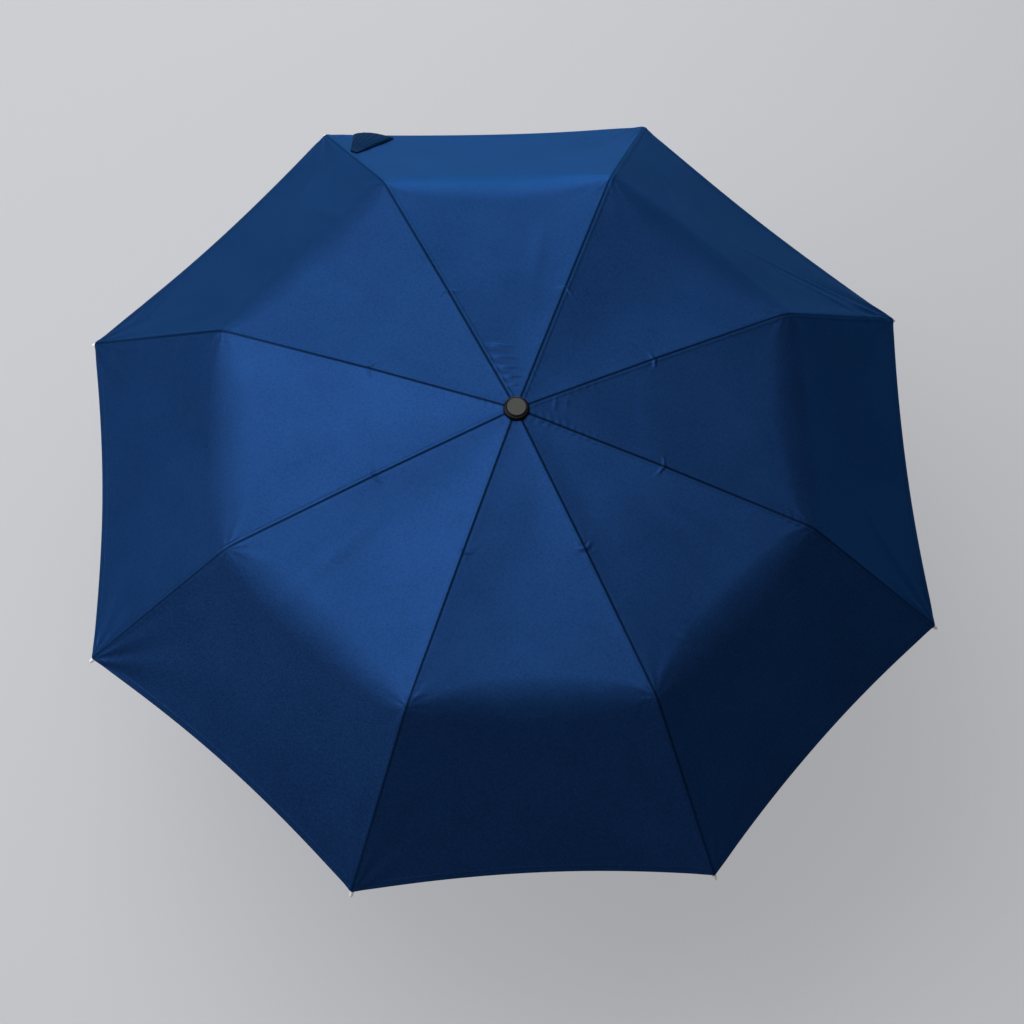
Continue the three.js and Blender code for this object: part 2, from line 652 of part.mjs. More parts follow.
ribAngles.forEach((angle, i) => {
  const number = i + 1;
  const plane = new THREE.Group();
  plane.rotation.z = angle;

  const top = pivot(NOTCH_PIVOT_R, 0, NOTCH_Z, deg(TOP_SLOPE));
  top.add(named(`top_rib_${number}`, topRib, ribSteel));

  const elbow = hinged(TOP_RIB_LENGTH, ELBOW_OFFSET, deg(MID_SLOPE - TOP_SLOPE));
  elbow.hung.add(named(`mid_rib_${number}`, midRib, ribAluminium));

  const knee = hinged(MID_RIB_LENGTH, KNEE_OFFSET, deg(OUTER_SLOPE - MID_SLOPE));
  knee.hung.add(named(`outer_rib_${number}`, outerRib, ribAluminium));
  knee.hung.add(named(`rib_tip_${number}`, ribTip, tipWhite));

  const strut = pivot(RUNNER_PIVOT_R, STRETCHER_SIDE, RUNNER_Z, -STRETCHER_ANGLE);
  strut.add(named(`stretcher_${number}`, stretcher, ribSteel));

  elbow.hung.add(knee.hinge);
  top.add(elbow.hinge);
  plane.add(top, strut);
  umbrella.add(plane);
});

export default umbrella;
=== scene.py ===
# Folding umbrella: fabric, materials, light and camera around the CAD frame.
# Metres, +Z up along the shaft. The cloth is worked out in millimetres and scaled once.

import json
import math

import bpy
import numpy as np
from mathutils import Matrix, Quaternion, Vector


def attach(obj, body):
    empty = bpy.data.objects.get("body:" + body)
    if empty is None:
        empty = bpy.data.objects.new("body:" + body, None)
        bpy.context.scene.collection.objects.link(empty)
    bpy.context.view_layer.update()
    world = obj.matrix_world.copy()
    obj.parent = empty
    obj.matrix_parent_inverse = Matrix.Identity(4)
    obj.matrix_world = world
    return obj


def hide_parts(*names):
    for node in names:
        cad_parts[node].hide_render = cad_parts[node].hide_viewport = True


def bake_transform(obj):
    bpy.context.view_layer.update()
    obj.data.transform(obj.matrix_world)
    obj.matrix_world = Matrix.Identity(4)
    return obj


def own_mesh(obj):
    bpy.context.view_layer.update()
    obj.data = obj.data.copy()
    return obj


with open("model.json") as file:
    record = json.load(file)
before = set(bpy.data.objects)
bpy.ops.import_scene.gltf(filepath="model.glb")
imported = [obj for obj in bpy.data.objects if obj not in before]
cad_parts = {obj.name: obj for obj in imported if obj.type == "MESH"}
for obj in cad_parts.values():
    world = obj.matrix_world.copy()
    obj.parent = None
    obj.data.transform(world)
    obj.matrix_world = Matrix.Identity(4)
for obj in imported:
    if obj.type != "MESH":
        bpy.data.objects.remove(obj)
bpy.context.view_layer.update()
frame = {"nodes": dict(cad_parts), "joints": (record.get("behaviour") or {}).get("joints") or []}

# ---- Constants ----------------------------------------------------------

MM = 0.001
SEED = 20                           # of the cloth's small waves and puckers
RIBS = 8
HALF_STEP = math.pi / RIBS          # half the angle between two ribs

TOP_SLOPE, MID_SLOPE, OUTER_SLOPE = (math.radians(angle) for angle in (7, 9, 40.5))
TOP_LENGTH, MID_LENGTH, OUTER_CLOTH = 155.0, 166.5, 213.0
ELBOW_OFFSET, KNEE_OFFSET = 1.9, -1.7   # the joints' pins stand off the ribs' lines by this
CLOTH_GAP, CLOTH_GAP_AT_TIP = 3.9, 2.7  # between the ribs' lines and the cloth
CLOTH_HEIGHT = 0.5                  # top face above the gap
CLOTH_THICKNESS = 0.4
HOLE_ARC = 5.6                      # edge of the hole round the shaft
CROWN_END = 16.5                    # where the cloth over the crown ends
LADDER_END = 92.5                   # rows are close together up to here, for the puckers at rib 4
SEAM_SPLIT = 248.0                  # between the two seam strips of a rib
KNEE_ROWS_START = 300.0             # rows are close together from here to the knee
CORNER_ROW = 371.0                  # nominal row of the line square to the rib at the knee
CORNER_START, CORNER_RISE = 4.0, 0.291
HEM_SCALLOP = 12.5                  # how far the hem curves in between two ribs
SAG_ELBOW, SAG_KNEE, SAG_HEM = 3.0, 4.5, 2.0   # depth at the centre of a gore
BEND_AT_RIB, BEND_AT_CENTRE = 9.0, 22.0   # half-length of the rounded bend, and its growth to the centre
HEM_FOLD = (536, 537.5)             # the hem's second layer of cloth begins between these arcs
HEM_EXTRA, HEM_STEP = 0.75, 0.25    # its extra thickness and how far it lifts the top face

SEAM_STRIP = (0.5, 1.2, 2.8, 4.4, 5.2, 6.0, 7.0)   # columns beside a rib
PANEL_COLUMNS = 26
HEM_ROWS = (530, 533, 535, 536, 536.8, 537.5, 538.2, 539, 541, 543, 544)

# ---- Cloth surface ------------------------------------------------------

joints = {joint["name"]: joint for joint in frame["joints"]}


def pin(name):
    x, y, z = joints[name]["pos_m"]
    return np.array([math.hypot(x, y), z]) / MM


def along(slope):
    return np.array([math.cos(slope), -math.sin(slope)])


def outward(slope):
    return np.array([math.sin(slope), math.cos(slope)])


NOTCH = pin("top_rib_1_fold")
ARC_ELBOW = NOTCH[0] + TOP_LENGTH
ARC_KNEE = ARC_ELBOW + MID_LENGTH
ARC_HEM = ARC_KNEE + OUTER_CLOTH
STRAIGHTS = (
    (NOTCH, NOTCH[0], TOP_SLOPE),
    (pin("mid_rib_1_fold") - ELBOW_OFFSET * outward(MID_SLOPE), ARC_ELBOW, MID_SLOPE),
    (pin("outer_rib_1_fold") - KNEE_OFFSET * outward(OUTER_SLOPE), ARC_KNEE, OUTER_SLOPE),
)


def smooth(low, high, x):
    t = np.clip((x - low) / (high - low), 0, 1)
    return t * t * (3 - 2 * t)


def on_straight(index, arc, hollow):
    """Radius and height of the cloth over one rib segment."""
    start, start_arc, slope = STRAIGHTS[index]
    gap = CLOTH_GAP + (CLOTH_GAP_AT_TIP - CLOTH_GAP) * np.clip((arc - ARC_KNEE) / OUTER_CLOTH, 0, 1)
    sag = np.interp(arc, (0, ARC_ELBOW, ARC_KNEE, ARC_HEM), (0, SAG_ELBOW, SAG_KNEE, SAG_HEM))
    lift = gap + CLOTH_HEIGHT - sag * hollow
    distance = arc - start_arc
    radius = start[0] + distance * math.cos(slope) + lift * math.sin(slope)
    level = start[1] - distance * math.sin(slope) + lift * math.cos(slope)
    return radius, level


def profile(arc, hollow):
    """Radius and height of the cloth at an arc length, with rounded bends at the joints."""
    parts = [on_straight(index, arc, hollow) for index in range(3)]
    radius, level = (
        np.where(arc < ARC_ELBOW, top, np.where(arc < ARC_KNEE, mid, outer))
        for top, mid, outer in zip(*parts)
    )
    half = BEND_AT_RIB + BEND_AT_CENTRE * hollow
    for index, joint_arc in ((0, ARC_ELBOW), (1, ARC_KNEE)):
        before = on_straight(index, joint_arc - half, hollow)
        after = on_straight(index + 1, joint_arc + half, hollow)
        t = np.clip((arc - joint_arc + half) / (2 * half), 0, 1)
        start_share = 2 * t**3 - 3 * t**2 + 1
        end_share = 3 * t**2 - 2 * t**3
        start_pull = t**3 - 2 * t**2 + t
        end_pull = t**3 - t**2
        leaving, arriving = along(STRAIGHTS[index][2]), along(STRAIGHTS[index + 1][2])
        inside = np.abs(arc - joint_arc) < half
        bent = [
            start_share * before[k] + end_share * after[k]
            + 2 * half * (start_pull * leaving[k] + end_pull * arriving[k])
            for k in (0, 1)
        ]
        radius = np.where(inside, bent[0], radius)
        level = np.where(inside, bent[1], level)
    return radius, level


def cloth_points(gore, arc, across):
    """Points of the cloth in millimetres; across runs from -1 at one rib to 1 at the next."""
    hollow = 1 - across**2
    pulled = arc - HEM_SCALLOP * hollow * smooth(ARC_KNEE, ARC_HEM, arc)
    radius, level = profile(pulled, hollow)
    x = radius * math.cos(HALF_STEP)
    y = radius * math.sin(HALF_STEP) * across
    turn = (2 * gore + 1) * HALF_STEP
    cosine, sine = np.cos(turn), np.sin(turn)
    return np.stack((x * cosine - y * sine, x * sine + y * cosine, level), -1)


def half_chord(arc):
    """Half the distance between two ribs at an arc length."""
    arc = np.asarray(arc, float)
    return profile(arc, np.zeros_like(arc))[0] * math.sin(HALF_STEP)


# ---- Grid round the shaft ----------------------------------------------

ROWS = np.unique(np.round(np.concatenate((
    np.linspace(HOLE_ARC, CROWN_END, 6),
    np.linspace(CROWN_END, LADDER_END, 39),
    np.linspace(LADDER_END, ARC_ELBOW - 6, 17),
    np.linspace(ARC_ELBOW - 6, ARC_ELBOW + 6, 11),
    np.linspace(ARC_ELBOW + 6, SEAM_SPLIT, 20),
    np.linspace(SEAM_SPLIT, KNEE_ROWS_START, 14),
    np.linspace(KNEE_ROWS_START, ARC_KNEE, 13),
    np.linspace(ARC_KNEE, CORNER_ROW, 14),
    np.linspace(CORNER_ROW, HEM_ROWS[0], 50),
    np.array(HEM_ROWS),
)), 4))
STRIP = len(SEAM_STRIP)
GORE_COLUMNS = 2 * STRIP + 2 * PANEL_COLUMNS
CENTRE = GORE_COLUMNS // 2
EDGE = 5                            # column where the seam strips end and the panels start
COLUMNS = RIBS * GORE_COLUMNS
SETTLING_ROUNDS = 8                 # the width depends on the arc and the arc on the width


def skewed(row, distance):
    """Arc length of a nominal row; past the knee the rows turn square to the rib."""
    beside = np.maximum(distance - SEAM_STRIP[-1], 0)
    corner = ARC_KNEE + CORNER_START + CORNER_RISE * beside
    first = ARC_KNEE + (corner - ARC_KNEE) * (row - ARC_KNEE) / (CORNER_ROW - ARC_KNEE)
    rest = HEM_ROWS[0] - CORNER_ROW
    second = corner + (HEM_ROWS[0] - corner) * (row - CORNER_ROW) / rest
    outer = np.where(row < CORNER_ROW, first, second)
    return np.where((row > ARC_KNEE) & (row < HEM_ROWS[0]), outer, row)


def half_gore():
    """Arc length, distance from the rib and half width at the columns up to a gore's centre."""
    row = ROWS[:, None]
    arc = np.repeat(row, CENTRE + 1, 1)
    share = np.arange(1, PANEL_COLUMNS + 1) / PANEL_COLUMNS
    for _ in range(SETTLING_ROUNDS):
        half = half_chord(arc)
        strip = np.array(SEAM_STRIP) * np.minimum(1, 0.8 * half[:, 1:STRIP + 1] / SEAM_STRIP[-1])
        edge = strip[:, -1:]
        panel = edge + (half[:, STRIP + 1:] - edge) * share**1.2
        distance = np.concatenate((np.zeros_like(row), strip, panel), 1)
        arc = skewed(row, distance)
    return arc, distance, half


def grid_coordinates():
    """Gore, arc length, share across and distance from both ribs for the whole grid."""
    arc, distance, half = half_gore()
    mirror = slice(-2, 0, -1)
    from_left = np.concatenate((distance, (2 * half - distance)[:, mirror]), 1)
    from_right = np.concatenate((2 * half - distance, distance[:, mirror]), 1)
    across = np.concatenate((distance / half - 1, (1 - distance / half)[:, mirror]), 1)
    arc = np.concatenate((arc, arc[:, mirror]), 1)
    arc, across, from_left, from_right = (
        np.tile(values, (1, RIBS)) for values in (arc, across, from_left, from_right)
    )
    gore = np.repeat(np.arange(RIBS), GORE_COLUMNS)[None, :] + np.zeros_like(arc)
    return gore, arc, across, from_left, from_right


def grid_normals(points):
    down = np.gradient(points, axis=0)
    ahead = np.roll(points, -1, 1) - np.roll(points, 1, 1)
    normals = np.cross(down, ahead)
    return normals / np.linalg.norm(normals, axis=2, keepdims=True)


# Single creases: rib, arc, distance from the rib (counter-clockwise side positive), direction
# from the rib's in degrees, length, width, height.
FOLDS = (
    (4, 86, -20, 80, 17, 2.4, 2.4), (4, 70, -17, 80, 16, 2.3, 2.9), (4, 56, -14, 82, 14, 2.2, 2.8),
    (4, 43, -11.5, 84, 12, 2.1, 2.5), (4, 31, -9, 86, 10, 2.0, 1.9),
    (2, 482, 56, 128, 112, 3.6, 1.5), (2, 500, 46, 130, 92, 3.2, -1.0), (2, 466, 40, 122, 80, 3.4, 1.0),
    (2, 512, 30, 135, 60, 3.0, 0.9), (2, 44, -11, 78, 9, 1.6, 0.7), (2, 58, -14, 80, 8, 1.6, 0.5),
    (5, 520, -42, 118, 60, 3.6, 0.8), (5, 506, -60, 112, 40, 3.2, -0.5),
    (8, 304, 63, 35, 44, 3.2, 0.8), (8, 312, 52, 40, 34, 3.0, -0.5),
    (1, 470, 60, -40, 60, 4.5, 0.6), (3, 420, -60, 30, 90, 6.0, 0.7), (7, 430, 70, 25, 80, 6.0, 0.6),
    (6, 250, 60, 15, 90, 7.0, 0.6), (1, 230, -50, -12, 100, 8.0, 0.7), (3, 210, 45, 10, 90, 7.0, 0.6),
    (4, 372, 70, 8, 70, 6.0, 0.6), (6, 400, -60, -20, 90, 6.0, 0.6), (8, 440, -50, 25, 80, 5.0, 0.6),
)


def fold_relief(arc, side, fold):
    """Height of one crease, which fades out towards its ends and sides."""
    _, at, off, direction, length, width, height = fold
    cosine, sine = math.cos(math.radians(direction)), math.sin(math.radians(direction))
    run = (arc - at) * cosine + (side - off) * sine
    cross = (side - off) * cosine - (arc - at) * sine
    return height * np.exp(-((cross / width) ** 2) - (1.6 * run / length) ** 2)


GROOVE_DEPTH, GROOVE_WIDTH = -0.5, 0.9
FELLED_SEAM = 0.3                   # height of the seam's turned-in cloth, on the clockwise side
PUCKER_STEP, PUCKER_HEIGHT = 9.0, 0.22
TIP_FAN, TIP_FAN_REACH = 0.9, 60
STRONG_TIP = (2, 0)                 # rib and side where the photograph shows the deepest gathers
JOINT_FANS = ((ARC_KNEE, 0.3, 26, 5), (ARC_ELBOW, 0.16, 14, 6))   # arc, height, reach, phase used
TIE_MARK = 0.9                      # cross-wrinkle where the cloth is tied to the first joint


def rib_relief(rib, arc, side, random):
    """Height of the details sewn or pulled in along one rib."""
    distance = np.abs(side)
    phases = random.uniform(0, 2 * math.pi, 8)
    strength = random.uniform(0.6, 1.1, 6)
    relief = GROOVE_DEPTH * np.exp(-((side / GROOVE_WIDTH) ** 2))
    relief = relief + FELLED_SEAM * (smooth(0.6, 1.3, -side) - smooth(4.6, 5.4, -side))
    pucker = np.sin(2 * math.pi * arc / PUCKER_STEP + phases[0] + 1.3 * np.sin(arc / 23 + phases[1]))
    patch = 0.6 + 0.4 * np.sin(arc / 41 + phases[2])
    relief = relief + PUCKER_HEIGHT * patch * pucker * np.exp(-(((distance - 3.5) / 5) ** 2))
    to_tip = ARC_HEM + 3 - arc
    reach = np.hypot(distance, to_tip)
    bearing = np.arctan2(distance, to_tip)
    for index, on_side in enumerate((side >= 0, side < 0)):
        pull = strength[index] * (1.7 if (rib, index) == STRONG_TIP else 1.0)
        fan = np.cos(11 * bearing + phases[3 + index] + 1.2 * np.sin(3 * bearing))
        fan = fan * np.exp(-reach / TIP_FAN_REACH) * smooth(5, 20, reach) * smooth(0, 7, distance)
        relief = relief + np.where(on_side, TIP_FAN * pull * fan, 0)
    for at, height, decay, index in JOINT_FANS:
        reach = np.hypot(distance, arc - at)
        bearing = np.arctan2(distance, arc - at)
        fan = np.cos(8 * bearing + phases[index]) * np.exp(-reach / decay)
        relief = relief + height * fan * smooth(3, 9, reach) * smooth(0, 5, distance)
    mark = np.exp(-(((arc - ARC_ELBOW) / 1.5) ** 2) - (side / 10) ** 4)
    relief = relief + TIE_MARK * mark
    for fold in FOLDS:
        if fold[0] == rib:
            relief = relief + fold_relief(arc, side, fold)
    return relief


WAVE_HEIGHT = 0.45
SHORT_WAVE, LONG_WAVE = 37, 61


def cloth_relief(gore, arc, across, from_left, from_right):
    """Height of all small details over the smooth surface."""
    random = np.random.default_rng(SEED)
    relief = np.zeros_like(arc)
    for rib in range(1, RIBS + 1):
        ahead = gore == rib - 1
        behind = gore == (rib - 2) % RIBS
        side = np.where(ahead, from_left, -from_right)
        near = rib_relief(rib, arc, side, random)
        relief = relief + np.where(ahead | behind, near, 0)
    phases = random.uniform(0, 2 * math.pi, (RIBS, 3))
    calm = (1 - across**2) ** 1.5
    for index, phase in enumerate(phases):
        short_wave = np.sin(arc / SHORT_WAVE + phase[0] + 1.1 * across)
        long_wave = 0.7 * np.sin(arc / LONG_WAVE + 3.1 * across + phase[1])
        wave = WAVE_HEIGHT * calm * (short_wave + long_wave) * smooth(40, 140, arc)
        relief = relief + np.where(gore == index, wave, 0)
    return relief * smooth(HOLE_ARC, 20, arc) + HEM_STEP * smooth(*HEM_FOLD, arc)


def cloth_grid():
    gore, arc, across, from_left, from_right = grid_coordinates()
    points = cloth_points(gore, arc, across)
    relief = cloth_relief(gore, arc, across, from_left, from_right)
    points = points + relief[..., None] * grid_normals(points)
    normals = grid_normals(points)
    thickness = CLOTH_THICKNESS + HEM_EXTRA * smooth(*HEM_FOLD, arc)
    under = points - thickness[..., None] * normals
    side = np.where(from_left <= from_right + 1e-9, from_left, from_right)
    return points, under, normals, arc, side


TOP_FACE, UNDER_FACE, NORMALS, ARCS, RIB_DISTANCE = cloth_grid()

# ---- Cloth pieces -------------------------------------------------------


def new_object(name, points, faces, normals, coordinates):
    mesh = bpy.data.meshes.new(name)
    mesh.from_pydata(points.tolist(), [], faces)
    mesh.shade_smooth()
    layer = mesh.uv_layers.new(name="cloth")
    corners = np.empty(len(mesh.loops), np.int32)
    mesh.loops.foreach_get("vertex_index", corners)
    layer.data.foreach_set("uv", coordinates[corners].astype(np.float32).ravel())
    mesh.normals_split_custom_set_from_vertices(normals.tolist())
    obj = bpy.data.objects.new(name, mesh)
    bpy.context.scene.collection.objects.link(obj)
    return obj


def shell(name, top, under, normals, coordinates):
    """A closed sheet from two matching grids of points, in metres."""
    rows, columns = top.shape[:2]
    count = rows * columns
    index = np.arange(count).reshape(rows, columns)
    quads = np.stack((index[:-1, :-1], index[1:, :-1], index[1:, 1:], index[:-1, 1:]), -1).reshape(-1, 4)
    faces = quads.tolist() + (quads[:, ::-1] + count).tolist()
    rim = np.concatenate((index[:-1, 0], index[-1, :-1], index[:0:-1, -1], index[0, :0:-1]))
    ahead = np.roll(rim, -1)
    faces += np.stack((ahead, rim, rim + count, ahead + count), -1).tolist()
    points = np.concatenate((top.reshape(-1, 3), under.reshape(-1, 3)))
    facing = np.concatenate((normals.reshape(-1, 3), -normals.reshape(-1, 3)))
    flat = coordinates.reshape(-1, 2)
    return new_object(name, points, faces, facing, np.concatenate((flat, flat)))


def row_of(arc):
    return int(np.argmin(np.abs(ROWS - arc)))


def cloth_piece(name, rib, arcs, offsets):
    """Part of the cloth between two arcs and two column offsets from a rib, over its carriers."""
    first, last = row_of(arcs[0]), row_of(arcs[1])
    steps = np.arange(offsets[0], offsets[1] + 1)
    columns = ((rib - 1) * GORE_COLUMNS + steps) % COLUMNS
    take = np.ix_(np.arange(first, last + 1), columns)
    sign = np.sign(steps)[None, :]
    coordinates = np.stack((sign * RIB_DISTANCE[take], ARCS[take]), -1) * MM
    piece = shell(name, TOP_FACE[take] * MM, UNDER_FACE[take] * MM, NORMALS[take], coordinates)
    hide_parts("canopy")
    return piece


# Each part of a half gore: rib it rides on, arcs, slope, then for the counter-clockwise and the
# clockwise half the share of the width that stays when closed and the tilt in degrees.
PARTS = {
    "top": ("top_rib", (CROWN_END, ARC_ELBOW), TOP_SLOPE, (0.015, 0.0), (0.015, 0.0)),
    "mid": ("mid_rib", (ARC_ELBOW, ARC_KNEE), MID_SLOPE, (0.03, 0.0), (0.03, 0.0)),
    "corner": ("outer_rib", (ARC_KNEE, CORNER_ROW), OUTER_SLOPE, (0.03, 3.0), (0.03, 3.0)),
    "outer": ("outer_rib", (CORNER_ROW, ARC_HEM), OUTER_SLOPE, (0.11, -2.5), (0.05, 1.5)),
}


def gather(piece, rib, part):
    """Ride a carrier of the rib, with a mesh of its own."""
    carrier, arcs, slope, counter_clockwise, clockwise = PARTS[part]
    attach(piece, f"{carrier}_{rib}")
    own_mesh(piece)


cloth = []
for rib in range(1, RIBS + 1):
    crown_piece = cloth_piece(
        f"cloth_crown_{rib}", rib, (HOLE_ARC, CROWN_END), (-CENTRE, CENTRE))
    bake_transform(crown_piece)
    cloth.append(crown_piece)
    for name, arcs, bodies, middle in (
        ("top", (CROWN_END, SEAM_SPLIT), ("top_rib", "mid_rib"), ARC_ELBOW),
        ("outer", (SEAM_SPLIT, ARC_HEM), ("mid_rib", "outer_rib"), ARC_KNEE),
    ):
        seam = cloth_piece(f"cloth_seam_{name}_{rib}", rib, arcs, (-EDGE, EDGE))
        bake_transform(seam)
        cloth.append(seam)
    for part, (carrier, arcs, *_) in PARTS.items():
        for hand, word in ((1, "ccw"), (-1, "cw")):
            offsets = (EDGE, CENTRE) if hand == 1 else (-CENTRE, -EDGE)
            panel = cloth_piece(
                f"cloth_{part}_{word}_{rib}", rib, arcs, offsets)
            gather(panel, rib, part)
            cloth.append(panel)

# ---- Closing strap ------------------------------------------------------

STRAP_RIB = 4
# Corners as (distance from the rib, distance from the hem): two nearer the shaft, two at the hem.
STRAP_INNER = ((5.0, 80.0), (9.0, 90.0))
STRAP_OUTER = ((32.0, 1.0), (73.0, 17.0))
STRAP_NOTCH = 9                     # how far its end at the hem curves in
STRAP_CLEARANCE = 1.7
STRAP_BULGE = 1.8
STRAP_PLEATS = 6
PLEAT_HEIGHT = 1.1
STRAP_THICKNESS = 1.0
STRAP_GRID = (49, 61)
STRAP_WEAVE = (0.05, 0.085)         # extent of the weave's coordinates, in metres


def strap_piece():
    """Pleated wedge of cloth that lies over the hem beside its rib."""
    rows, columns = STRAP_GRID
    outwards, away = np.meshgrid(np.linspace(0, 1, rows), np.linspace(1, 0, columns), indexing="ij")

    def between(k):
        near = STRAP_INNER[0][k] + (STRAP_INNER[1][k] - STRAP_INNER[0][k]) * away
        far = STRAP_OUTER[0][k] + (STRAP_OUTER[1][k] - STRAP_OUTER[0][k]) * away
        return near + (far - near) * outwards

    from_rib = between(0)
    from_hem = between(1) - STRAP_NOTCH * np.sin(math.pi * away) * outwards**2
    arc = ARC_HEM - from_hem
    across = 1 - from_rib / half_chord(arc)
    gore = np.full(arc.shape, float(STRAP_RIB - 2))
    base = cloth_points(gore, arc, across)
    facing = np.cross(np.gradient(base, axis=0), np.gradient(base, axis=1))
    facing = facing / np.linalg.norm(facing, axis=2, keepdims=True)
    pleat = np.abs(np.sin(math.pi * STRAP_PLEATS * (away + 0.05 * np.sin(5 * outwards)))) ** 0.5
    arch = np.sin(math.pi * away) ** 0.7 * smooth(0, 0.9, outwards)
    side_edge = smooth(0, 0.05, np.minimum(away, 1 - away))
    end_edge = smooth(0, 0.04, np.minimum(outwards, 1 - outwards))
    edge = side_edge * end_edge
    pleats = PLEAT_HEIGHT * pleat * edge * smooth(0, 0.4, outwards)
    height = STRAP_CLEARANCE + STRAP_BULGE * arch + pleats
    top = base + height[..., None] * facing
    normals = np.cross(np.gradient(top, axis=0), np.gradient(top, axis=1))
    normals = normals / np.linalg.norm(normals, axis=2, keepdims=True)
    under = top - STRAP_THICKNESS * normals
    coordinates = np.stack((away * STRAP_WEAVE[0], outwards * STRAP_WEAVE[1]), -1)
    piece = shell("strap", top * MM, under * MM, normals, coordinates)
    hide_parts("tie_strap")
    gather(piece, STRAP_RIB, "outer")
    return piece


strap = strap_piece()

# ---- Materials ----------------------------------------------------------


class Nodes:
    """Adds nodes to one material."""

    def __init__(self, name):
        self.material = bpy.data.materials.new(name)
        self.material.use_nodes = True
        self.tree = self.material.node_tree
        self.shader = self.tree.nodes["Principled BSDF"]

    def node(self, kind, **settings):
        made = self.tree.nodes.new(kind)
        for key, value in settings.items():
            if key in made.inputs:
                made.inputs[key].default_value = value
            else:
                setattr(made, key, value)
        return made

    def link(self, source, target):
        self.tree.links.new(source, target)

    def feed(self, socket, value):
        """Give a socket a colour, a number or the output of another node."""
        if isinstance(value, tuple):
            socket.default_value = (*value, 1)
        elif isinstance(value, (int, float)):
            socket.default_value = value
        else:
            self.link(value, socket)

    def math(self, operation, *values, clamp=False):
        made = self.tree.nodes.new("ShaderNodeMath")
        made.operation = operation
        made.use_clamp = clamp
        for socket, value in zip(made.inputs, values):
            self.feed(socket, value)
        return made.outputs[0]

    def noise(self, vector, scale, detail, roughness):
        made = self.node("ShaderNodeTexNoise", Scale=scale, Detail=detail, Roughness=roughness)
        self.link(vector, made.inputs["Vector"])
        return made.outputs["Fac"]

    def ramp(self, value, stops):
        made = self.tree.nodes.new("ShaderNodeValToRGB")
        elements = made.color_ramp.elements
        while len(elements) < len(stops):
            elements.new(0.5)
        for element, (place, colour) in zip(elements, stops):
            element.position = place
            element.color = (*colour, 1)
        self.link(value, made.inputs["Fac"])
        return made.outputs["Color"]

    def blend(self, factor, first, second, mode="MIX"):
        made = self.tree.nodes.new("ShaderNodeMix")
        made.data_type = "RGBA"
        made.blend_type = mode
        factor_socket, first_socket, second_socket = (made.inputs[index] for index in (0, 6, 7))
        self.feed(factor_socket, factor)
        self.feed(first_socket, first)
        self.feed(second_socket, second)
        return made.outputs[2]

    def bump(self, height, distance, strength, normal=None):
        made = self.node("ShaderNodeBump", Distance=distance, Strength=strength)
        self.link(height, made.inputs["Height"])
        if normal is not None:
            self.link(normal, made.inputs["Normal"])
        return made.outputs["Normal"]

    def set(self, **values):
        """Feed the shader's sockets by name and return the material."""
        for key, value in values.items():
            self.feed(self.shader.inputs[key.replace("_", " ")], value)
        return self.material


def linear(red, green, blue):
    """Linear colour of an 8-bit sRGB colour."""
    return tuple(
        value / 12.92 if value <= 0.04045 else ((value + 0.055) / 1.055) ** 2.4
        for value in (red / 255, green / 255, blue / 255)
    )


# Cloth pattern and painted shade, in metres along the rib (arc) and beside it (side).
THREAD_STEP = 0.0009
STITCH_STEP, STITCH_GAP = 0.0032, -0.35
SEAM_SHADE_WIDTH = 0.0014                 # scale of the painted shade line in the seam's fold along the rib
SEAM_STITCH, SEAM_STITCH_WIDTH = 0.0043, 0.0005
HEM_STITCH, HEM_STITCH_WIDTH = 0.5382, 0.0006
CAP_SHADE_END, CAP_SHADE_RAGGED = 0.0128, 0.003   # painted shade: a ragged dark ring round the cap, where the cloth is gathered
SEAM_SHADE_FADE = ((0.2, 0.86), (0.5, 0.48))          # how dark the painted shade in the seam's fold is at an arc
STRAP_SHADE_EDGE = (0.0445, 0.0475)       # the strap turns dark between these: painted shade of its raised free edge, partly its dark underside
BLACK, WHITE = (0, 0, 0), (1, 1, 1)
CLOTH_METALLIC = 0.6
CLOTH_TINT = (0.46, 0.68, 1.0)
CLOTH_ROUGHNESS, ROUGHNESS_SPREAD = 0.37, 0.16


def stitches(nodes, beside, width, along_line):
    """Dashes along a line, from the distance beside it and the place along it."""
    line = nodes.math("SUBTRACT", 1.2, nodes.math("DIVIDE", beside, width), clamp=True)
    dash = nodes.math("SINE", nodes.math("MULTIPLY", along_line, 2 * math.pi / STITCH_STEP))
    return nodes.math("MULTIPLY", line, nodes.math("GREATER_THAN", dash, STITCH_GAP))


